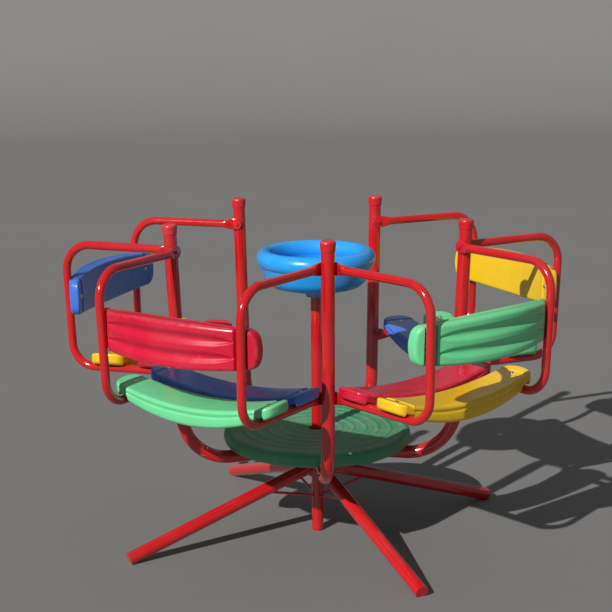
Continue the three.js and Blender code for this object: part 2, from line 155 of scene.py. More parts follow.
class PlankSettings(bpy.types.PropertyGroup):
    """Sizes of the moulded plank, twelve alike."""

    tip_to_tip: length("Length", "From tip to tip", 0.526)
    width: length("Width", "Across the middle", 0.126)
    end_width: length("End width", "Across the corners of an end", 0.106)
    thickness: length("Thickness", "In the middle", 0.054)
    corner: length("Corner radius", "Radius of the four corners in plan", 0.028)
    convex: length("Convex radius", "Radius of the ridged face along the plank", 0.612)
    concave: length("Concave radius", "Radius of the smooth face along the plank", 0.98)
    notch: length("Notch offset", "From the middle to each rail notch", 0.223)
    notch_depth: length("Notch depth", "Depth of a rail notch", 0.0092)
    groove: length("Groove depth", "Depth of the two long grooves", 0.0075)
    groove_width: length("Groove width", "Width of a long groove in its middle", 0.041)
    groove_reach: length("Groove reach", "From the middle to each groove's end", 0.207)
    channel_width: length("Channel width", "Width of the strap-like channel", 0.026)
    channel_depth: length("Channel depth", "Depth of the channel on the smooth face", 0.0030)
    crown: length("Crown", "Fall of the smooth face from its middle to its sides", 0.003)
    shoulder: length("Shoulder", "Width of the round between face and side", 0.009)
    crease: length("Crease drop", "From the smooth face down to the crease", 0.020)


class RoundSettings(bpy.types.PropertyGroup):
    """Sizes of the foot disc and the hand wheel."""

    disc: length("Disc radius", "Radius of the foot disc", 0.277)
    disc_top: length("Disc top", "Height of the foot disc's rim", 0.321)
    ridge: length("Ridge height", "Height of the disc's ring ridges", 0.0022)
    ridge_pitch: length("Ridge pitch", "From one ring ridge to the next", 0.0360)
    wheel: length("Wheel radius", "To the middle of the hand wheel's rim", 0.150)
    rim_width: length("Rim width", "Width of the wheel's oval rim", 0.046)
    rim_depth: length("Rim depth", "Depth of the wheel's oval rim", 0.053)


class ColourSettings(bpy.types.PropertyGroup):
    """Surface colours."""

    red_paint: tint("Tube paint", "Gloss paint of the tubework", (0.56, 0.006, 0.010))
    red_cap: tint("Caps", "Plastic caps of the posts", (0.60, 0.008, 0.014))
    crimson_plastic: tint("Crimson", "Crimson planks", (0.60, 0.003, 0.034))
    green_plastic: tint("Green", "Green planks", (0.145, 0.68, 0.305))
    blue_plastic: tint("Blue", "Blue planks", (0.040, 0.175, 0.68))
    yellow_plastic: tint("Yellow", "Yellow planks", (0.86, 0.53, 0.003))
    disc_green: tint("Disc green", "Foot disc", (0.050, 0.34, 0.160))
    wheel_blue: tint("Wheel blue", "Hand wheel", (0.018, 0.36, 0.93))
    floor: tint("Floor", "Floor and backdrop", (0.19, 0.19, 0.19))


# Surfaces as whole arrays


def heading(degrees):
    """The level unit vector at an angle from the front, -Y, turning towards +X."""
    turn = np.radians(degrees)
    return np.array((np.sin(turn), -np.cos(turn), 0.0))


def polar(angle, radius, height):
    """Points at an angle from the front, at radii from the axis and at heights."""
    radius, height = np.broadcast_arrays(radius, height)
    return radius[..., None] * heading(angle) + height[..., None] * (0.0, 0.0, 1.0)


def paired(first, second):
    """Two arrays as the two coordinates of points, along a new last axis."""
    return np.stack((first, second), axis=-1)


def unit(vectors):
    """The same directions with length one, along the last axis."""
    return vectors / np.linalg.norm(vectors, axis=-1, keepdims=True)


def smooth_step(values, low, high):
    """Zero below low, one above high, and 3t^2 - 2t^3 of the share t between them."""
    share = np.clip((values - low) / (high - low), 0.0, 1.0)
    return share * share * (3 - 2 * share)


def capped(rings):
    """Rings with their middle point repeated before the first and after the last."""
    ends = np.repeat(rings[[0, -1]].mean(axis=1, keepdims=True), rings.shape[1], axis=1)
    return np.concatenate((ends[:1], rings, ends[1:]))


def grid_faces(rows, columns, wrap):
    """Two triangles for each cell of a grid; wrap joins the last column to the first."""
    index = np.arange(rows * columns).reshape(rows, columns)
    if wrap:
        index = np.concatenate((index, index[:, :1]), axis=1)
    a, b, c, d = index[:-1, :-1], index[1:, :-1], index[1:, 1:], index[:-1, 1:]
    return np.stack((a, b, c, a, c, d), axis=-1).reshape(-1, 3)


def shell(*patches):
    """One closed skin from patches, each a grid of closed rings and its points' marks.

    Points that coincide become one, triangles that lose a corner go, and the skin
    is turned so that the volume it holds, the sum of its triangles' triple products
    over six, is positive. Marks go with the points.
    """
    points = []
    faces = []
    marks = []
    count = 0
    for grid, mark in patches:
        rows, columns = grid.shape[:2]
        points.append(grid.reshape(-1, 3))
        faces.append(grid_faces(rows, columns, True) + count)
        marks.append(np.broadcast_to(mark, (rows, columns)).reshape(-1))
        count += rows * columns
    points = np.concatenate(points)
    keys = np.round(points / 2e-6).astype(np.int64)
    _, first, inverse = np.unique(keys, axis=0, return_index=True, return_inverse=True)
    faces = inverse.reshape(-1)[np.concatenate(faces)]
    whole = (faces[:, 0] != faces[:, 1]) & (faces[:, 1] != faces[:, 2])
    faces = faces[whole & (faces[:, 2] != faces[:, 0])]
    points = points[first]
    a, b, c = points[faces[:, 0]], points[faces[:, 1]], points[faces[:, 2]]
    if np.einsum("ij,ij->", a, np.cross(b, c)) < 0:
        faces = faces[:, ::-1]
    edges = np.sort(np.concatenate((faces[:, :2], faces[:, 1:], faces[:, ::2])), axis=1)
    shared = np.unique(edges, axis=0, return_counts=True)[1]
    if np.any(shared % 2):
        raise RuntimeError("a skin has an open edge")
    return points, faces, np.concatenate(marks)[first]


def sweep(path, across, sections):
    """Closed sections carried along a path that lies in one plane.

    At each station the section's first coordinate runs along the plane's normal,
    across, and its second along the normal turned about the path's tangent, which
    is the mean of the directions before and after the station.
    """
    steps = unit(np.diff(path, axis=0))
    tangent = unit(np.concatenate((steps[:1], steps[:-1] + steps[1:], steps[-1:])))
    side = unit(np.asarray(across, float))
    up = unit(np.cross(tangent, side))
    return path[:, None] + sections[..., 0, None] * side + sections[..., 1, None] * up[:, None]


def circle(sides):
    """Corners of a unit circle."""
    turn = np.linspace(0, 2 * np.pi, sides, endpoint=False)
    return paired(np.cos(turn), np.sin(turn))


def turned(profile, sides):
    """Pairs of radius and height carried round the Z axis."""
    profile = np.asarray(profile, float)
    ring = np.concatenate((circle(sides), np.zeros((sides, 1))), axis=-1)
    grid = profile[:, None, :1] * ring
    grid[..., 2] = profile[:, None, 1]
    return grid


def turned_shell(profile, sides, marks=0.0):
    """A solid of revolution; a profile that leaves the axis open is closed on itself."""
    profile = np.column_stack((profile, np.broadcast_to(marks, len(profile))))
    if profile[0, 0] > 0:
        profile = np.concatenate((profile, profile[:1]))
    return shell((turned(profile[:, :2], sides), profile[:, 2:]))


def rounded(profile, passes=2):
    """Corners cut at a quarter and three quarters of each side, passes times over."""
    profile = np.asarray(profile, float)
    for _ in range(passes):
        near = 0.75 * profile[:-1] + 0.25 * profile[1:]
        far = 0.25 * profile[:-1] + 0.75 * profile[1:]
        middle = np.stack((near, far), axis=1).reshape(-1, profile.shape[1])
        profile = np.concatenate((profile[:1], middle, profile[-1:]))
    return profile


def placed(skin, matrix):
    """A skin moved by a 4 by 4 matrix that turns and shifts it."""
    points, faces, marks = skin
    turn = np.array(matrix)
    return points @ turn[:3, :3].T + turn[:3, 3], faces, marks


def add_piece(name, skins, colour, nodes, body, sharp=40.0):
    """Puts skins into one mesh object that rides on a body and stands for nodes.

    The colour names its finish. Zinc isn't a colour to choose, so it
    has no slot. Edges sharper than the angle in degrees stay sharp.
    """
    counts = np.cumsum([0] + [len(skin[0]) for skin in skins])
    points = np.concatenate([skin[0] for skin in skins])
    faces = np.concatenate([skin[1] + start for skin, start in zip(skins, counts)])
    marks = np.concatenate([skin[2] for skin in skins])
    mesh = bpy.data.meshes.new(name)
    mesh.vertices.add(len(points))
    mesh.vertices.foreach_set("co", points.astype(np.float32).ravel())
    mesh.loops.add(faces.size)
    mesh.loops.foreach_set("vertex_index", faces.astype(np.int32).ravel())
    mesh.polygons.add(len(faces))
    mesh.polygons.foreach_set("loop_start", np.arange(0, faces.size, 3, dtype=np.int32))
    mesh.polygons.foreach_set("use_smooth", np.ones(len(faces), bool))
    mesh.update(calc_edges=True)
    mesh.set_sharp_from_angle(angle=np.radians(sharp))
    edge = mesh.attributes.new("edge", "FLOAT", "POINT")
    edge.data.foreach_set("value", marks.astype(np.float32))
    mesh.materials.append(finish(colour))
    piece = bpy.data.objects.new(name, mesh)
    bpy.context.scene.collection.objects.link(piece)
    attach(piece, body)
    if nodes:
        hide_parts(*nodes)


# Paths and places of the tubework


def post_axis(angle, height):
    """A point on a post's axis: its radius grows with height by the lean's slope."""
    height = np.asarray(height, float)
    return polar(angle, POST_RADIUS + LEAN_SLOPE * (height - POST_RADIUS_HEIGHT), height)


def post_path(angle):
    """A straight post, a quarter bend in its own upright plane, and a level arm.

    In the bend the radius is the bend centre's plus ARM_BEND cos t, and the height
    ARM_HEIGHT + ARM_BEND - ARM_BEND sin t, from t = -lean to a right angle. The
    second result says how bent the tube is at each station.
    """
    lean = np.radians(POST_LEAN)
    bend_top = ARM_HEIGHT + ARM_BEND * (1 - np.sin(lean))
    straight = post_axis(angle, np.linspace(POST_TOP, bend_top, 24)[:-1])
    start = post_axis(angle, bend_top)
    centre = np.hypot(start[0], start[1]) - ARM_BEND * np.cos(lean)
    turn = np.linspace(-lean, np.pi / 2, 30)
    radius = centre + ARM_BEND * np.cos(turn)
    bend = polar(angle, radius, ARM_HEIGHT + ARM_BEND - ARM_BEND * np.sin(turn))
    arm = polar(angle, np.linspace(radius[-1], ROTOR_HUB_RADIUS + 0.0003, 12)[1:], ARM_HEIGHT)
    bent = np.sin(2 * np.clip(turn, 0, None))
    bent = np.concatenate((np.zeros(len(straight)), bent, np.zeros(len(arm))))
    return np.concatenate((straight, bend, arm)), bent


def rail_angle(post_angle, side):
    """The angle that a rail reaches out along from its post, toed in a little."""
    return post_angle + side * (HALF_BAY + RAIL_TOE_IN)


def rail_point(post_angle, side, reach, height):
    """A point of a rail's plane, which lies against the post's side and leans with it."""
    along = rail_angle(post_angle, side)
    beside = TAB_OFFSET * heading(along + side * 90)
    return post_axis(post_angle, height) + beside + np.asarray(reach)[..., None] * heading(along)


def lower_run_height(reach):
    """Height of a rail's lower run, which rises a little from the bend to the post."""
    return RAIL_LOWER + RAIL_RISE * (1 - reach / LOWER_RUN)


def rail_outline():
    """Reach and height along a rail: out on top, down at the end, and back below.

    Straight runs joined by quarter circles. Stations crowd where the tube narrows
    to its pressed ends.
    """
    tip = -TAB_BACK + TAB_ROUND * (1 - np.cos(np.linspace(0.0, np.pi / 2, 9)))
    pressed = np.concatenate((tip, np.linspace(0.008, 0.052, 23)))
    out = np.linspace(0.060, RAIL_REACH - RAIL_UPPER_BEND, 14)[:-1]
    out = np.concatenate((pressed, out))
    back = np.linspace(LOWER_RUN, 0.060, 14)[1:]
    back = np.concatenate((back, pressed[::-1]))
    down = np.linspace(RAIL_UPPER - RAIL_UPPER_BEND, RAIL_LOWER + RAIL_LOWER_BEND, 14)[1:-1]
    turn = np.linspace(0, np.pi / 2, 22)
    late = 1 - np.sin(turn)
    early = 1 - np.cos(turn)
    upper = paired(RAIL_REACH - RAIL_UPPER_BEND * late, RAIL_UPPER - RAIL_UPPER_BEND * early)
    lower = paired(RAIL_REACH - RAIL_LOWER_BEND * early, RAIL_LOWER + RAIL_LOWER_BEND * late)
    return np.concatenate(
        (
            paired(out, np.full(len(out), RAIL_UPPER)),
            upper,
            paired(np.full(len(down), RAIL_REACH), down),
            lower,
            paired(back, lower_run_height(back)),
        )
    )


def rail_sections(outline, tubes):
    """Sections from a flat strip with a round end to a round tube.

    A section is a superellipse: its two half sizes go from the strip's to the
    tube's radius, and its power from 8 down to 2, over the pressed length.
    """
    reach = outline[:, :1]
    tube_share = smooth_step(reach, *PRESSED_SPAN)
    strip_share = 1 - tube_share
    tube = tubes.rail / 2
    tip = np.clip((TAB_ROUND - TAB_BACK - reach) / TAB_ROUND, 0.0, 1.0)
    strip_high = tubes.tab_height / 2 * np.sqrt(np.clip(1 - tip**2, 0.03, 1.0))
    half_high = strip_high + (tube - strip_high) * tube_share
    half_wide = tubes.tab_thickness / 2 * strip_share + tube * tube_share
    power = 8.0 * strip_share + 2.0 * tube_share
    turn = np.linspace(0, 2 * np.pi, 32, endpoint=False) + np.pi / 32
    turn = np.arctan2(np.sin(turn) * (1 - 0.55 * strip_share), np.cos(turn))
    sine = np.sin(turn)
    cosine = np.cos(turn)
    scale = (np.abs(cosine) ** power + np.abs(sine) ** power) ** (-1 / power)
    return paired(scale * sine * half_wide, scale * cosine * half_high)


def rail_spacing(reach, height):
    """Half the distance between a seat's rails, and how far out they are."""
    point = rail_point(-HALF_BAY, 1, reach, height)
    return -point[0], -point[1]


def bar_shell(start, end, shares, angle, diameter, sides):
    """A straight round bar in the upright plane at an angle, cut off by the floor."""
    path = start + (end - start) * shares[:, None]
    section = np.broadcast_to(circle(sides) * diameter / 2, (len(path), sides, 2))
    grid = capped(sweep(path, heading(angle + 90), section))
    grid[..., 2] = np.maximum(grid[..., 2], 0.0)
    return shell((grid, 0.0))


# The plank, in its own place: length along X, ridged convex face down

# Across a plank's side: millimetres inwards, millimetres above the crease, and mark
SIDE_ROWS = (
    (0.0, -6.0, 0.0), (0.3, -4.6, 0.2), (1.0, -3.3, 0.4), (2.0, -1.8, 0.3), (2.8, -0.5, 0.0),
    (2.9, 0.3, 0.0), (2.6, 1.2, 0.0), (2.0, 3.0, 0.0), (1.2, 5.5, 0.0), (0.7, 8.0, 0.0),
)


def plank_outline(plank):
    """The plan's outline, its outward normals and the spine point behind each.

    The end bulges by a parabola that meets each corner's circle at 15 degrees. A
    long side lies half the end width out, plus the rest times 1 - (x / c)^2, where
    c is the corner's middle. The spine is the middle line, and it stops short of
    the ends, so that from there the rows fan out to the end.
    """
    join = np.radians(15)
    half = plank.width / 2
    end_half = plank.end_width / 2
    corner_y = end_half - plank.corner
    join_y = corner_y + plank.corner * np.sin(join)
    bulge = join_y * np.tan(join) / 2
    corner_x = plank.tip_to_tip / 2 - bulge - plank.corner * np.cos(join)
    spine_end = plank.notch + 0.022
    end_y = np.linspace(0, join_y, 9)[:-1]
    end_x = plank.tip_to_tip / 2 - bulge * (end_y / join_y) ** 2
    end_normal = paired(np.ones(8), 2 * bulge * end_y / join_y**2)
    last = np.arccos((spine_end - corner_x) / plank.corner)
    turn = np.linspace(join, last, 12)[:-1]
    fine = np.linspace(spine_end, plank.notch - 0.025, 38)
    x = np.concatenate((fine, np.linspace(fine[-1], 0, 25)[1:]))
    past = np.clip(x - corner_x, 0, None)
    arc_y = corner_y + np.sqrt(plank.corner**2 - past**2)
    side_y = end_half + (half - end_half) * (1 - (x / corner_x) ** 2)
    y = np.where(past > 0, arc_y, side_y)
    x = np.concatenate((corner_x + plank.corner * np.cos(turn), x))
    y = np.concatenate((corner_y + plank.corner * np.sin(turn), y))
    arc_normal = paired(x - corner_x, y - corner_y)
    side_normal = paired(2 * (half - end_half) * x / corner_x**2, np.ones_like(x))
    normal = np.where((x > corner_x)[:, None], arc_normal, side_normal)
    outline = np.concatenate((paired(end_x, end_y), paired(x, y)))
    quarter = np.stack((outline, unit(np.concatenate((end_normal, normal)))))
    upper = np.concatenate((quarter, quarter[:, -2::-1] * (-1, 1)), axis=1)
    outline, normal = np.concatenate((upper, upper[:, -2:0:-1] * (1, -1)), axis=1)
    spine = paired(np.clip(outline[:, 0], -spine_end, spine_end), outline[:, 0] * 0)
    return outline, normal, spine


def plank_channel(plank, x):
    """One inside the channels above the notches, zero elsewhere, with soft walls."""
    away = np.abs(np.abs(x) - plank.notch)
    return 1 - smooth_step(away, plank.channel_width / 2 - 0.003, plank.channel_width / 2)


def plank_convex(plank, x, depth=0.0):
    """Height of the convex face: an arc of its radius less the depth cut into it."""
    away = np.abs(np.abs(x) - plank.notch)
    notch = plank.notch_depth * (1 - smooth_step(away, 0.0145, 0.0172))
    return plank.convex - np.sqrt((plank.convex - notch - depth) ** 2 - x**2)


def plank_concave(plank, x, y=0.0):
    """Height of the smooth face.

    It is an arc above the thickness, less the channels, less the crown times the
    square of y over half the width.
    """
    arc = plank.thickness + plank.concave - np.sqrt(plank.concave**2 - x**2)
    crown = plank.crown * (y / (plank.width / 2)) ** 2
    return arc - crown - plank.channel_depth * plank_channel(plank, x)


def plank_shell(plank):
    """Rows from the middle of the ridged face, round the edge, to the smooth face.

    Each of two long grooves is a cosine wave across, and its width and depth run
    out towards the notches. A quarter circle rounds the lower edge and another the
    shoulder. Along both sides the upper shell pulls in to a crease, and below it a
    ledge leads out to the lower body; both run out before the lobes at the ends.
    """
    outline, normal, spine = plank_outline(plank)
    x = outline[:, 0]
    arc = plank_concave(plank, x) + plank.channel_depth * plank_channel(plank, x)
    whole = arc - plank.convex + np.sqrt(plank.convex**2 - x**2)
    low = plank_convex(plank, x)
    cut = plank_concave(plank, x) - low
    low_edge = np.minimum(0.011, 0.25 * cut)
    shoulder = np.minimum(plank.shoulder, 0.25 * cut)
    creased = 1 - smooth_step(np.abs(x), plank.notch - 0.020, plank.notch - 0.006)
    grids = []
    marks = []

    def inward(inset):
        return outline - normal * inset[..., None]

    def add_rows(plan, height, mark):
        grids.append(np.concatenate((plan, height[..., None]), axis=-1))
        marks.append(np.broadcast_to(mark, height.shape))

    shares = np.linspace(0, 0.96, 30)[:, None]
    edge = inward(low_edge)
    plan = spine + (edge - spine) * shares[..., None]
    taper = np.clip(1 - np.abs(plan[..., 0] / plank.groove_reach) ** 6, 0.0001, 1)
    away = np.abs(shares - 0.47) * np.linalg.norm(edge - spine, axis=-1)
    wave = 0.5 + 0.5 * np.cos(np.pi * np.clip(2 * away / (plank.groove_width * taper), 0, 1))
    depth = plank.groove * np.sqrt(taper) * wave
    add_rows(plan, plank_convex(plank, plan[..., 0], depth), 0.0)

    bend = np.radians(np.linspace(0, 90, 9))[:, None]
    plan = inward(low_edge * (1 - np.sin(bend)))
    height = plank_convex(plank, plan[..., 0]) + low_edge * (1 - np.cos(bend))
    add_rows(plan, height, 0.7 * np.sin(2 * bend))

    bend = np.radians(np.linspace(0, 90, 10))[:, None]
    shoulder_plan = inward(0.0006 * creased + shoulder * (1 - np.cos(bend)))
    shoulder_height = plank_concave(plank, shoulder_plan[..., 0], shoulder_plan[..., 1])
    shoulder_height -= shoulder * (1 - np.sin(bend))

    side_inset, side_rise, side_mark = np.array(SIDE_ROWS).T[..., None]
    crease = arc - np.minimum(plank.crease, 0.40 * whole)
    height = crease + side_rise * 0.001 * np.minimum(1, cut / 0.048)
    height = np.clip(height, low + low_edge + 0.0004, shoulder_height[0] - 0.0004)
    add_rows(inward(side_inset * 0.001 * creased), height, side_mark)
    add_rows(shoulder_plan, shoulder_height, 0.6 * np.sin(2 * bend))

    shares = np.array((0.9, 0.75, 0.5, 0.25, 0.0))[:, None, None]
    plan = spine + (shoulder_plan[-1] - spine) * shares
    add_rows(plan, plank_concave(plank, plan[..., 0], plan[..., 1]), 0.0)
    return shell((np.concatenate(grids), np.concatenate(marks)))


def plank_matrix(angle, place, tilt):
    """Tilts a plank about its length, shifts it, and turns it to its seat's angle."""
    turn = Matrix.Rotation(np.radians(angle), 4, "Z")
    return turn @ Matrix.Translation(place) @ Matrix.Rotation(tilt, 4, "X")


def seat_plank_place(reach, plank):
    """A seat plank lies with its notches on the two lower runs."""
    height = lower_run_height(reach)
    half = rail_spacing(reach + HALF_PLANK, height)[0]
    arc = height + np.sqrt(NESTED_RADIUS**2 - half**2)
    return Vector((0, -rail_spacing(reach, height)[1], arc - plank.convex))


def backrest_place(plank):
    """A backrest stands with its notches against the two outer uprights."""
    half = rail_spacing(RAIL_REACH, BACKREST_HEIGHT - HALF_PLANK)[0]
    out = rail_spacing(RAIL_REACH, BACKREST_HEIGHT)[1]
    arc = np.sqrt(NESTED_RADIUS**2 - half**2)
    return Vector((0, -out + arc - plank.convex, BACKREST_HEIGHT))


def plank_places(plank):
    """Name, colour and matrix of each of the twelve planks."""
    slope = np.arctan(RAIL_RISE / LOWER_RUN)
    upright = np.arctan(LEAN_SLOPE * np.cos(np.radians(HALF_BAY))) - np.pi / 2
    places = (
        ("backrest", backrest_place(plank), upright),
        ("outer_plank", seat_plank_place(OUTER_PLANK, plank), slope),
        ("inner_plank", seat_plank_place(INNER_PLANK, plank), slope),
    )
    for seat, (angle, colours) in SEATS.items():
        for colour, (kind, place, tilt) in zip(colours, places):
            yield f"{seat}_{kind}", colour, plank_matrix(angle, place, tilt)


# The hand wheel: a bowl with four hand openings and an oval rim

WHEEL_TOP_SIDE = rounded(
    (
        (0.036, 0.7625), (0.044, 0.7580), (0.060, 0.7568), (0.092, 0.7580), (0.116, 0.7660),
        (0.128, 0.7780), (0.134, 0.7910),
    ),
    3,
)
WHEEL_UNDER_SIDE = rounded(
    ((0.036, 0.7330), (0.060, 0.7342), (0.095, 0.7360), (0.124, 0.7460), (0.134, 0.7548)), 3
)
WHEEL_HUB = rounded(((0.0, 0.7685), (0.018, 0.7683), (0.027, 0.7675), (0.036, 0.7625)))
WHEEL_SOCKET = np.concatenate(
    (
        rounded(((0.036, 0.7330), (0.0325, 0.7315), (0.0305, 0.7250), (0.0300, 0.7175))),
        ((0.0292, 0.7162), (0.0180, 0.7162), (0.01735, 0.7170), (0.01735, 0.7523), (0.0, 0.7523)),
    )
)
FLOOR_MIDDLE = 0.085
FLOOR_REACH = 0.049
OPENING_MIDDLE = 0.094
OPENING_REACH = 0.032
OPENING_HALF_ANGLE = 27.0
FLOOR_COLUMNS = 24
FLOOR_STEPS = 14


def wheel_sector(index):
    """A quarter of the bowl's floor with one hand opening through it.

    The plate runs between two radii and two angles. A point's place in it, from -1
    to 1 both ways, lies on a line from the opening's edge, |p|^4 + |q|^4 = 1 scaled
    to the opening, out to the plate's border. The top and the underside meet in the
    opening's rounded wall.
    """
    along = np.linspace(-1, 1, FLOOR_COLUMNS + 1)[:-1]
    back = np.linspace(1, -1, FLOOR_STEPS + 1)[:-1]
    border_angle = np.concatenate((along, np.ones(FLOOR_STEPS), -along, -np.ones(FLOOR_STEPS)))
    border_radius = np.concatenate((np.ones(FLOOR_COLUMNS), back, -np.ones(FLOOR_COLUMNS), -back))
    scale = (border_angle**4 + border_radius**4) ** -0.25
    hole_radius = OPENING_MIDDLE + OPENING_REACH * border_radius * scale
    edge_radius = FLOOR_MIDDLE + FLOOR_REACH * border_radius
    hole_angle = np.radians(OPENING_HALF_ANGLE) * border_angle * scale
    edge_angle = np.radians(45.0) * border_angle
    spread = np.concatenate((np.linspace(1, 0.16, 9), (0.10, 0.05, 0.02, 0.0)))[:, None]
    drop = np.concatenate((np.zeros(9), (0.0003, 0.0012, 0.0025, 0.0045)))[:, None]
    radius = hole_radius + (edge_radius - hole_radius) * spread
    angle = hole_angle + (edge_angle - hole_angle) * spread
    top = np.interp(radius, *WHEEL_TOP_SIDE.T) - drop
    under = np.interp(radius, *WHEEL_UNDER_SIDE.T) + drop
    radius = np.concatenate((radius, radius[::-1]))
    height = np.concatenate((top, under[::-1]))
    turn = np.concatenate((angle, angle[::-1])) + np.radians(45 + 90 * index)
    mark = np.concatenate((drop, drop[::-1])) / drop[-1]
    return np.stack((radius * np.cos(turn), radius * np.sin(turn), height), axis=-1), mark


def wheel_shell(rounds):
    """The bowl's four floor plates, its hub inside them, and its wall and rim outside."""
    turn = np.radians(np.linspace(215, -62, 44))
    rim = paired(
        rounds.wheel + rounds.rim_width / 2 * np.cos(turn),
        WHEEL_HEIGHT + rounds.rim_depth / 2 * np.sin(turn),
    )
    inside = rounded(((0.134, 0.7910), (0.1358, 0.8000), tuple(rim[0])))
    outside = rounded(
        (tuple(rim[-1]), (0.1588, 0.7980), (0.1500, 0.7730), (0.1430, 0.7625), (0.134, 0.7548)), 3
    )
    wall = np.concatenate((inside, rim[1:-1], outside))
    patches = [wheel_sector(index) for index in range(4)]
    for profile in (WHEEL_HUB, WHEEL_SOCKET, wall):
        patches.append((turned(profile, 4 * FLOOR_COLUMNS), 0.0))
    return shell(*patches)


# The foot disc

RIDGES_START = 0.233
RIDGES = 5


def disc_shell(rounds):
    """The disc's rim, its face with ring ridges and its raised lip round the column.

    The ridges are counted inwards from where they start. Their tops and the rim's
    top are marked as worn edges.
    """
    edge = rounds.disc
    top = rounds.disc_top
    plate = top - 0.003
    face_edge = 0.243
    rim = rounded(
        (
            (edge - 0.016, DISC_UNDER), (edge - 0.0065, DISC_UNDER + 0.0050),
            (edge - 0.0012, DISC_UNDER + 0.0170), (edge, DISC_UNDER + 0.0280),
            (edge - 0.0028, top - 0.0075), (edge - 0.0100, top - 0.0020), (edge - 0.0190, top),
            (edge - 0.0255, top - 0.0004), (edge - 0.0290, top - 0.0022), (face_edge, plate),
        ),
        3,
    )
    radius = np.linspace(face_edge, 0.034, 190)[1:]
    place = (RIDGES_START - radius) / rounds.ridge_pitch
    away = np.abs(place - np.floor(place) - 0.5)
    ringed = (place > 0) & (place < RIDGES)
    ridges = np.where(ringed, rounds.ridge * (1 - smooth_step(away, 0.08, 0.26)), 0.0)
    lip = ((0.0300, plate), (0.0270, plate + 0.0012), (0.0245, plate), (0.0240, 0.314))
    profile = np.concatenate((rim, paired(radius, plate + ridges), lip, ((0.0240, DISC_UNDER),)))
    rim_mark = smooth_step(profile[:, 1], top - 0.0012, top)
    ridge_mark = smooth_step(profile[:, 1], plate + 0.0016, plate + 0.0021)
    return turned_shell(profile, 128, np.where(profile[:, 0] < 0.244, ridge_mark, rim_mark))


# Small parts

CAP_PROFILE = rounded(
    (
        (0.0, 0.0), (0.008, -0.0002), (0.0150, -0.0011), (0.0200, -0.0036), (0.0219, -0.0078),
        (0.0219, -0.0120), (0.0211, -0.0200), (0.0206, -0.0285), (0.0203, -0.0300),
        (0.0193, -0.0300), (0.0193, -0.0040), (0.0, -0.0040),
    )
)
SLEEVE_PROFILE = rounded(
    (
        (0.0176, ROTOR_HUB_BOTTOM), (ROTOR_HUB_RADIUS - 0.0015, ROTOR_HUB_BOTTOM),
        (ROTOR_HUB_RADIUS, ROTOR_HUB_BOTTOM + 0.0015), (ROTOR_HUB_RADIUS, ROTOR_HUB_TOP - 0.0015),
        (ROTOR_HUB_RADIUS - 0.0015, ROTOR_HUB_TOP), (0.0176, ROTOR_HUB_TOP),
    ),
    1,
)
STAND_HUB_PROFILE = rounded(
    (
        (0.0172, 0.1720), (0.0265, 0.1720), (STAND_HUB_RADIUS, 0.1735), (STAND_HUB_RADIUS, 0.2265),
        (0.0270, 0.2280), (0.0250, 0.2282), (0.0250, 0.2330), (0.0245, 0.2335), (0.0172, 0.2335),
    ),
    1,
)


def hexagon_bolt(matrix, head, high):
    """A hexagonal bolt head, turned about Z.

    Its radius is the flat's distance over the cosine of the angle from the nearest
    flat's middle, and its top is chamfered by a cone.
    """
    profile = (
        (0.0, -0.0006), (head, -0.0006), (head, high - 0.0012), (head * 0.90, high),
        (head * 0.55, high + 0.0002), (0.0, high - 0.0003),
    )
    grid = turned(profile, 48)
    turn = np.arange(48) * 7.5
    share = 0.866 / np.cos(np.radians((turn + 30) % 60 - 30))
    share = np.stack([share, share, share, np.minimum(share, 0.93), share * 0 + 0.9, share * 0 + 1])
    grid[..., :2] *= share[..., None]
    return placed(shell((grid, 0.2)), matrix)


def dome_bolt(matrix, head, high):
    """A quarter ellipse turned about Z, on a short round foot."""
    bend = np.radians(np.linspace(0, 90, 9))
    dome = paired(head * np.cos(bend), 0.0006 + high * np.sin(bend))
    profile = np.concatenate((((0.0, -0.0006), (head, -0.0006)), dome))
    return placed(turned_shell(profile, 32, 0.2), matrix)


def facing(point, direction):
    """A matrix that stands +Z along a direction at a point."""
    turn = Vector(tuple(direction)).to_track_quat("Z", "Y").to_matrix().to_4x4()
    return Matrix.Translation(Vector(tuple(point))) @ turn


def bead_shell(height, axis, hub_radius, tube_radius, bead, ceiling):
    """A rippled weld bead round a tube where it meets an upright round hub.

    At the angle t round the tube the bead's middle lies tube_radius from its axis,
    and as far out as the hub's circle is at that offset. Its radius ripples by
    a tenth, and it stays below the ceiling.
    """
    turn = np.linspace(0, 2 * np.pi, 120, endpoint=False)
    out = unit(np.array((axis[0], axis[1], 0.0)))
    side = np.cross(out, (0, 0, 1.0))
    up = np.cross(side, axis)
    offset = tube_radius * np.cos(turn)
    away = np.sqrt(hub_radius**2 - offset**2)
    ring = offset[:, None] * side + tube_radius * np.sin(turn)[:, None] * up
    along = (away - ring @ out) / (axis @ out)
    middle = np.array((0.0, 0.0, height)) + ring + along[:, None] * axis
    thick = (bead / 2 * (1 + 0.10 * np.sin(26 * turn)))[:, None, None]
    section = circle(12)
    grid = middle[:, None] + thick * section[:, :1] * unit(ring)[:, None] + thick * section[:, 1:] * axis
    grid = np.concatenate((grid, grid[:1]))
    grid[..., 2] = np.minimum(grid[..., 2], ceiling)
    return shell((grid, 0.4))


# Finishes

# Each look's values in this order; the plastics of the planks and the wheel share one
WEAR = ("Fading", "Dust", "Scratches", "Edge wear", "Gloss low", "Gloss high")
LOOK = ("pale", "deep", "bump", "coat", *WEAR)
PLASTIC = (0.25, 0.10, 0.12, 0.12, 0.15, 0.06, 0.22, 0.30, 0.24, 0.34)
LOOKS = {
    "red_paint": (0.16, 0.10, 0.06, 0.8, 0.10, 0.05, 0.10, 0.5, 0.10, 0.17),
    "red_cap": (0.2, 0.10, 0.20, 0.2, 0.2, 0.10, 0.25, 0.4, 0.26, 0.36),
    "disc_green": (0.22, 0.25, 0.30, 0.0, 0.2, 0.35, 0.6, 0.35, 0.34, 0.50),
}


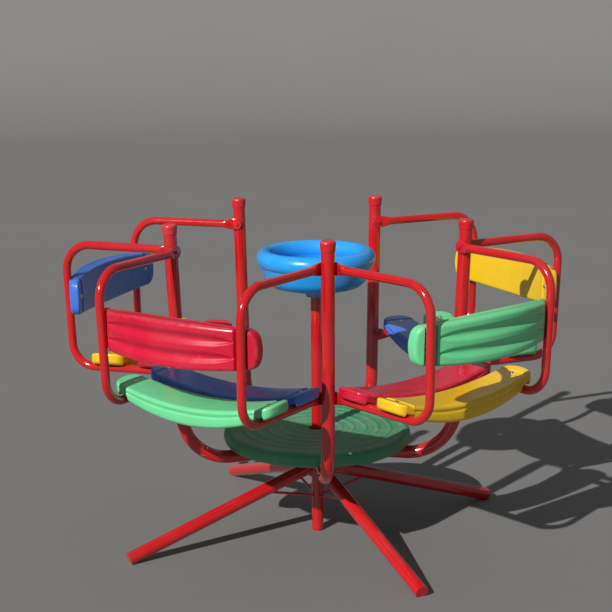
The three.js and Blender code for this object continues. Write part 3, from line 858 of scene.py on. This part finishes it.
def feed(tree, node, inputs):
    """Links a node's inputs to sockets, or sets them to plain values."""
    for place, value in inputs.items():
        if isinstance(value, bpy.types.NodeSocket):
            tree.links.new(value, node.inputs[place])
        else:
            node.inputs[place].default_value = value


def add_node(tree, kind, output, inputs, **settings):
    """A new node with its settings and its inputs, given by one of its outputs."""
    made = tree.nodes.new(kind)
    for name, value in settings.items():
        setattr(made, name, value)
    feed(tree, made, inputs)
    return made.outputs[output]


def noise(tree, place, scale, detail, roughness=0.55):
    """A noise texture on the piece's own coordinates."""
    inputs = {"Vector": place, "Scale": scale, "Detail": detail, "Roughness": roughness}
    return add_node(tree, "ShaderNodeTexNoise", "Fac", inputs)


def ranged(tree, value, low, high, to_low=0.0, to_high=1.0):
    """A value moved from one range to another and held there."""
    inputs = {"Value": value, "From Min": low, "From Max": high, "To Min": to_low, "To Max": to_high}
    return add_node(tree, "ShaderNodeMapRange", "Result", inputs)


def maths(tree, operation, first, second):
    """A Math node on two values, each a socket or a number."""
    return add_node(tree, "ShaderNodeMath", "Value", {0: first, 1: second}, operation=operation)


def mixed(tree, share, first, second):
    """Two colours mixed by a share. A Mix node has its colours at the places 6 and 7."""
    return add_node(tree, "ShaderNodeMix", 2, {0: share, 6: first, 7: second}, data_type="RGBA")


def object_place(tree):
    """The piece's own coordinates."""
    return tree.nodes.new("ShaderNodeTexCoord").outputs["Object"]


def streaks(tree, place, scale, turn):
    """Noise on coordinates that are squeezed and turned."""
    inputs = {"Vector": place, "Scale": scale, "Rotation": turn}
    return noise(tree, add_node(tree, "ShaderNodeMapping", "Vector", inputs), 1.0, 2.0)


def wear_group():
    """Sun fading, dust and scratches, shared by the paint and the plastics."""
    group = bpy.data.node_groups.new("Outdoor wear", "ShaderNodeTree")
    tones = ("Colour", "Faded", "Deep")
    for way, labels in (("INPUT", tones + WEAR), ("OUTPUT", ("Colour", "Roughness", "Height"))):
        for label in labels:
            kind = "NodeSocketColor" if label in tones else "NodeSocketFloat"
            group.interface.new_socket(label, in_out=way, socket_type=kind)
    given = group.nodes.new("NodeGroupInput").outputs

    def times(first, second):
        return maths(group, "MULTIPLY", first, second)

    place = object_place(group)
    fine = noise(group, place, 42.0, 4.0)
    patches = ranged(group, noise(group, place, 5.0, 3.0), 0.38, 0.66)
    colour = mixed(group, patches, given["Deep"], given["Colour"])
    bleached = ranged(group, noise(group, place, 3.4, 5.0, 0.65), 0.45, 0.75)
    colour = mixed(group, times(bleached, given["Fading"]), colour, given["Faded"])

    one_way = streaks(group, place, (160.0, 14.0, 30.0), (0.3, 0.5, 0.9))
    other_way = streaks(group, place, (18.0, 150.0, 40.0), (0.6, 0.2, 0.3))
    scratch = maths(
        group, "MAXIMUM", ranged(group, one_way, 0.69, 0.74), ranged(group, other_way, 0.70, 0.75)
    )
    scratch = times(times(scratch, ranged(group, fine, 0.42, 0.62)), given["Scratches"])
    colour = mixed(group, scratch, colour, given["Faded"])

    edge = add_node(group, "ShaderNodeAttribute", "Fac", {}, attribute_name="edge")
    worn = times(times(edge, ranged(group, fine, 0.40, 0.66)), given["Edge wear"])
    colour = mixed(group, worn, colour, given["Faded"])

    normal = group.nodes.new("ShaderNodeNewGeometry").outputs["Normal"]
    upright = add_node(group, "ShaderNodeSeparateXYZ", "Z", {"Vector": normal})
    grains = ranged(group, noise(group, place, 17.0, 7.0, 0.7), 0.42, 0.74)
    dust = times(times(ranged(group, upright, 0.55, 0.98), grains), given["Dust"])
    colour = mixed(group, dust, colour, (0.42, 0.38, 0.30, 1.0))

    shine = ranged(group, fine, 0.3, 0.7, given["Gloss low"], given["Gloss high"])
    rough = maths(group, "ADD", maths(group, "ADD", shine, times(dust, 0.5)), times(scratch, 0.3))
    height = maths(group, "SUBTRACT", times(noise(group, place, 420.0, 2.0), 0.35), scratch)
    result = group.nodes.new("NodeGroupOutput")
    feed(group, result, {"Colour": colour, "Roughness": rough, "Height": height})
    return group


def worn_inputs(tree, name):
    """Inputs of the Principled shader for a chosen colour, from the shared wear group.

    The faded colour is moved towards pale by a share, and the deep one is darker
    by a share.
    """
    look = dict(zip(LOOK, LOOKS.get(name, PLASTIC)))
    colour = tuple(getattr(bpy.context.scene.roundabout_colours, name))
    faded = tuple(c + (0.85 - c) * look["pale"] for c in colour)
    deep = tuple(c * (1 - look["deep"]) for c in colour)
    wear = tree.nodes.new("ShaderNodeGroup")
    wear.node_tree = bpy.data.node_groups.get("Outdoor wear") or wear_group()
    tones = {"Colour": colour + (1.0,), "Faded": faded + (1.0,), "Deep": deep + (1.0,)}
    feed(tree, wear, tones | {label: look[label] for label in WEAR})
    bump = {"Strength": look["bump"], "Distance": 0.0004, "Height": wear.outputs["Height"]}
    return {
        "Base Color": wear.outputs["Colour"],
        "Roughness": wear.outputs["Roughness"],
        "Normal": add_node(tree, "ShaderNodeBump", "Normal", bump),
        "Coat Weight": look["coat"],
        "Coat Roughness": 0.06,
    }


def zinc_inputs(tree):
    """The bolts' zinc plating: blotchy grey with a few dull, rusted spots."""
    place = object_place(tree)
    spots = ranged(tree, noise(tree, place, 260.0, 4.0), 0.62, 0.72)
    blotches = ranged(tree, noise(tree, place, 90.0, 3.0), 0.35, 0.7)
    colour = mixed(tree, blotches, (0.52, 0.53, 0.54, 1.0), (0.70, 0.70, 0.69, 1.0))
    colour = mixed(tree, spots, colour, (0.24, 0.12, 0.06, 1.0))
    rough = maths(tree, "ADD", ranged(tree, blotches, 0.0, 1.0, 0.22, 0.38), spots)
    rough = maths(tree, "MINIMUM", rough, 0.8)
    return {"Base Color": colour, "Roughness": rough, "Metallic": 1.0}


def floor_inputs(tree):
    """A matt grey floor with a faint cloudiness. Its backdrop turns dark with height."""
    grey = tuple(bpy.context.scene.roundabout_colours.floor)
    place = object_place(tree)
    clouds = ranged(tree, noise(tree, place, 0.8, 4.0), 0.3, 0.7)
    colour = mixed(tree, clouds, grey + (1.0,), tuple(c * 0.96 for c in grey) + (1.0,))
    height = add_node(tree, "ShaderNodeSeparateXYZ", "Z", {"Vector": place})
    colour = mixed(tree, ranged(tree, height, 1.5, 2.6), colour, (0.020, 0.028, 0.015, 1.0))
    return {"Base Color": colour, "Roughness": 0.85}


def finish(name):
    """The material of that name, made the first time that a piece asks for it."""
    material = bpy.data.materials.get(f"{name}_finish")
    if not material:
        material = bpy.data.materials.new(f"{name}_finish")
        material.use_nodes = True
        tree = material.node_tree
        special = {"zinc": zinc_inputs, "floor": floor_inputs}
        inputs = special[name](tree) if name in special else worn_inputs(tree, name)
        feed(tree, tree.nodes["Principled BSDF"], inputs)
    return material


# Operators, one for each piece or group of like pieces


class ROUNDABOUT_OT_posts(bpy.types.Operator):
    """Build the five bent posts and their caps"""

    bl_idname = "roundabout.posts"
    bl_label = "Posts and caps"

    def execute(self, context):
        radius = context.scene.roundabout_tubes.post / 2
        mark = np.clip(1 - np.abs(CAP_PROFILE[:, 1] + 0.004) / 0.005, 0, 1)
        cap = turned_shell(CAP_PROFILE, 48, mark)
        for name, angle in POSTS.items():
            path, bent = post_path(angle)
            oval = paired(radius * (1 + 0.012 * bent), radius * (1 - 0.022 * bent))
            grid = capped(sweep(path, heading(angle + 90), circle(48) * oval[:, None]))
            add_piece(name + "_tube", [shell((grid, 0.0))], "red_paint", [name], "rotor")
            top = post_axis(angle, CAP_TOP)
            skin = placed(cap, facing(top, top - post_axis(angle, 0.0)))
            add_piece(name + "_end_cap", [skin], "red_cap", [name + "_cap"], "rotor", 45)
        return {"FINISHED"}


class ROUNDABOUT_OT_rails(bpy.types.Operator):
    """Build the eight tube rails with their pressed ends"""

    bl_idname = "roundabout.rails"
    bl_label = "Rails"

    def execute(self, context):
        outline = rail_outline()
        sections = rail_sections(outline, context.scene.roundabout_tubes)
        for seat, (angle, _) in SEATS.items():
            for hand, side in (("left", 1), ("right", -1)):
                post = angle - side * HALF_BAY
                path = rail_point(post, side, outline[:, 0], outline[:, 1])
                rise = post_axis(post, 1.0) - post_axis(post, 0.0)
                across = np.cross(heading(rail_angle(post, side)), rise)
                skin = shell((capped(sweep(path, across, sections)), 0.0))
                name = f"{seat}_rail_{hand}"
                add_piece(name + "_tube", [skin], "red_paint", [name], "rotor", 50)
        return {"FINISHED"}


class ROUNDABOUT_OT_planks(bpy.types.Operator):
    """Build the twelve moulded planks"""

    bl_idname = "roundabout.planks"
    bl_label = "Planks"

    def execute(self, context):
        plank = context.scene.roundabout_plank
        skin = plank_shell(plank)
        for name, colour, matrix in plank_places(plank):
            add_piece(name + "_moulding", [placed(skin, matrix)], colour, [name], "rotor", 48)
        return {"FINISHED"}


class ROUNDABOUT_OT_foot_disc(bpy.types.Operator):
    """Build the ring-ridged foot disc and the sleeve that it turns on"""

    bl_idname = "roundabout.foot_disc"
    bl_label = "Foot disc"

    def execute(self, context):
        skin = disc_shell(context.scene.roundabout_rounds)
        add_piece("foot_disc_moulding", [skin], "disc_green", ["foot_disc"], "rotor")
        skin = turned_shell(SLEEVE_PROFILE, 64)
        add_piece("rotor_sleeve", [skin], "red_paint", ["rotor_hub"], "rotor")
        return {"FINISHED"}


class ROUNDABOUT_OT_hand_wheel(bpy.types.Operator):
    """Build the hand wheel"""

    bl_idname = "roundabout.hand_wheel"
    bl_label = "Hand wheel"

    def execute(self, context):
        skin = wheel_shell(context.scene.roundabout_rounds)
        add_piece("hand_wheel_bowl", [skin], "wheel_blue", ["hand_wheel"], "stand", 45)
        return {"FINISHED"}


class ROUNDABOUT_OT_stand(bpy.types.Operator):
    """Build the legs, the stay rods, the hub and the column"""

    bl_idname = "roundabout.stand"
    bl_label = "Stand"

    def execute(self, context):
        tubes = context.scene.roundabout_tubes
        shares = np.concatenate((np.linspace(0, 0.95, 40), np.linspace(0.96, 1, 12)))
        stay_top = LEG_HUB_HEIGHT - LEG_SLOPE * STAY_REACH - tubes.leg / 2 + STAY_SINK
        for index in range(4):
            angle = LEG_TURN + 90 * index
            start = polar(angle, LEG_START, LEG_HUB_HEIGHT - LEG_SLOPE * LEG_START)
            end = polar(angle, LEG_REACH, LEG_END_HEIGHT)
            skin = bar_shell(start, end, shares, angle, tubes.leg, 48)
            name = f"leg_{index + 1}"
            add_piece(name + "_tube", [skin], "red_paint", [name], "stand")
            start = polar(angle, STAY_START, STAY_HEIGHT)
            end = polar(angle, STAY_REACH, stay_top)
            skin = bar_shell(start, end, np.linspace(0, 1, 16), angle, tubes.stay, 16)
            name = f"stay_rod_{index + 1}"
            add_piece(name + "_bar", [skin], "red_paint", [name], "stand")
        skin = turned_shell(STAND_HUB_PROFILE, 64)
        add_piece("stand_socket", [skin], "red_paint", ["stand_hub"], "stand")
        height = np.linspace(0.01, COLUMN_TOP - 0.002, 60)
        height = np.concatenate(((0.0, 0.0, 0.0015), height, (COLUMN_TOP, COLUMN_TOP)))
        width = np.full(len(height), tubes.column / 2)
        width[[1, -2]] -= 0.0012
        width[[0, -1]] = 0.0
        skin = turned_shell(paired(width, height), 48)
        add_piece("column_tube", [skin], "red_paint", ["centre_column"], "stand")
        return {"FINISHED"}


class ROUNDABOUT_OT_fasteners(bpy.types.Operator):
    """Build the bolts of the rails and planks and the weld beads"""

    bl_idname = "roundabout.fasteners"
    bl_label = "Bolts and welds"

    def execute(self, context):
        tubes = context.scene.roundabout_tubes
        plank = context.scene.roundabout_plank
        skins = []
        for angle, _ in SEATS.values():
            for side in (1, -1):
                post = angle - side * HALF_BAY
                outward = heading(rail_angle(post, side) + side * 90)
                for height in (RAIL_UPPER, lower_run_height(0.0)):
                    point = rail_point(post, side, 0.0, height) + outward * tubes.tab_thickness / 2
                    skins.append(hexagon_bolt(facing(point, outward), 0.0068, 0.0045))
        add_piece("rail_bolts", skins, "red_paint", [], "rotor", 30)
        skins = []
        for _, _, matrix in plank_places(plank):
            for x in (plank.notch, -plank.notch):
                point = Vector((x, 0, plank_concave(plank, x) - 0.0002))
                slope = x / np.sqrt(plank.concave**2 - x**2)
                local = Matrix.Translation(point) @ Matrix.Rotation(-np.arctan(slope), 4, "Y")
                skins.append(dome_bolt(matrix @ local, 0.0064, 0.0034))
        add_piece("plank_bolts", skins, "zinc", [], "rotor", 30)
        hub = (ROTOR_HUB_RADIUS, tubes.post / 2, tubes.bead, ROTOR_HUB_TOP)
        skins = [bead_shell(ARM_HEIGHT, heading(angle), *hub) for angle in POSTS.values()]
        add_piece("arm_welds", skins, "red_paint", [], "rotor", 60)
        hub = (STAND_HUB_RADIUS, tubes.leg / 2, tubes.bead, STAND_HUB_TOP)
        skins = []
        for index in range(4):
            axis = unit(polar(LEG_TURN + 90 * index, 1.0, -LEG_SLOPE))
            skins.append(bead_shell(LEG_HUB_HEIGHT, axis, *hub))
        add_piece("leg_welds", skins, "red_paint", [], "stand", 60)
        return {"FINISHED"}


class ROUNDABOUT_OT_stage(bpy.types.Operator):
    """Build the floor with its backdrop, the lights and the camera"""

    bl_idname = "roundabout.stage"
    bl_label = "Stage"

    def execute(self, context):
        turn = np.linspace(0, np.pi / 2, 24)[1:]
        depth = np.concatenate(((-12.0, 0.0, 11.0), 11.0 + 4.0 * np.sin(turn), (15.0,)))
        rise = np.concatenate(((0.0, 0.0, 0.0), 4.0 * (1 - np.cos(turn)), (9.0,)))
        wide, rise = np.meshgrid(np.linspace(-16, 16, 9), rise)
        grid = np.stack((wide, np.broadcast_to(depth[:, None], wide.shape), rise), axis=-1)
        mesh = bpy.data.meshes.new("floor")
        faces = grid_faces(*wide.shape, False)[:, ::-1]
        mesh.from_pydata(grid.reshape(-1, 3).tolist(), [], faces.tolist())
        mesh.polygons.foreach_set("use_smooth", np.ones(len(faces), bool))
        mesh.materials.append(finish("floor"))
        floor = bpy.data.objects.new("floor", mesh)
        context.scene.collection.objects.link(floor)
        world = bpy.data.worlds.new("studio")
        world.use_nodes = True
        sky = {"Color": (0.94, 0.96, 1.0, 1.0), "Strength": 0.20}
        feed(world.node_tree, world.node_tree.nodes["Background"], sky)
        context.scene.world = world
        sun = bpy.data.lights.new("sun", "SUN")
        sun.energy = 4.15
        sun.angle = np.radians(0.6)
        sun.color = (1.0, 0.97, 0.92)
        back = bpy.data.lights.new("back", "AREA")
        back.energy = 8.0
        back.size = 3.0
        elevation = np.radians(SUN_ELEVATION)
        sun_place = polar(-SUN_AZIMUTH, np.cos(elevation), np.sin(elevation))
        for light, place in ((sun, sun_place), (back, np.array((1.5, 5.2, 4.4)))):
            lamp = bpy.data.objects.new(light.name, light)
            lamp.location = place
            lamp.rotation_euler = Vector(-place).to_track_quat("-Z", "Y").to_euler()
            context.scene.collection.objects.link(lamp)
        yaw, pitch, roll = np.radians(CAMERA_YAW_PITCH_ROLL)
        level_forward = np.array((np.sin(yaw), np.cos(yaw), 0.0))
        forward = Vector(level_forward * np.cos(pitch) + (0.0, 0.0, np.sin(pitch)))
        level = Vector((np.cos(yaw), -np.sin(yaw), 0.0))
        right = Matrix.Rotation(-roll, 3, forward) @ level
        rotation = Matrix((right, right.cross(forward), -forward)).transposed().to_4x4()
        lens = bpy.data.cameras.new("camera")
        lens.sensor_width = 36.0
        lens.lens = CAMERA_LENS
        camera = bpy.data.objects.new("camera", lens)
        camera.matrix_world = Matrix.Translation(CAMERA_PLACE) @ rotation
        context.scene.collection.objects.link(camera)
        context.scene.camera = camera
        context.scene.view_settings.view_transform = "Standard"
        return {"FINISHED"}


OPERATORS = (
    ROUNDABOUT_OT_stand,
    ROUNDABOUT_OT_posts,
    ROUNDABOUT_OT_rails,
    ROUNDABOUT_OT_planks,
    ROUNDABOUT_OT_foot_disc,
    ROUNDABOUT_OT_hand_wheel,
    ROUNDABOUT_OT_fasteners,
    ROUNDABOUT_OT_stage,
)
SETTINGS = {
    "roundabout_tubes": TubeSettings,
    "roundabout_plank": PlankSettings,
    "roundabout_rounds": RoundSettings,
    "roundabout_colours": ColourSettings,
}


class ROUNDABOUT_PT_panel(bpy.types.Panel):
    """The settings and the steps, in the sidebar of the 3D view"""

    bl_idname = "ROUNDABOUT_PT_panel"
    bl_label = "Playground roundabout"
    bl_space_type = "VIEW_3D"
    bl_region_type = "UI"
    bl_category = "Roundabout"

    def draw(self, context):
        for label in SETTINGS:
            settings = getattr(context.scene, label)
            box = self.layout.box()
            for name in settings.bl_rna.properties.keys():
                if name not in ("rna_type", "name"):
                    box.prop(settings, name)
        for operator in OPERATORS:
            self.layout.operator(operator.bl_idname)


def register():
    """Makes the settings, the operators and the panel known to Blender."""
    for kind in (*SETTINGS.values(), *OPERATORS, ROUNDABOUT_PT_panel):
        bpy.utils.register_class(kind)
    for label, kind in SETTINGS.items():
        setattr(bpy.types.Scene, label, bpy.props.PointerProperty(type=kind))


def unregister():
    """Takes them out again, last ones first."""
    for label in SETTINGS:
        delattr(bpy.types.Scene, label)
    for kind in (ROUNDABOUT_PT_panel, *reversed(OPERATORS), *SETTINGS.values()):
        bpy.utils.unregister_class(kind)


def main():
    """Builds every piece in order."""
    register()
    bpy.ops.roundabout.stand()
    bpy.ops.roundabout.posts()
    bpy.ops.roundabout.rails()
    bpy.ops.roundabout.planks()
    bpy.ops.roundabout.foot_disc()
    bpy.ops.roundabout.hand_wheel()
    bpy.ops.roundabout.fasteners()
    bpy.ops.roundabout.stage()


if __name__ == "__main__":
    main()
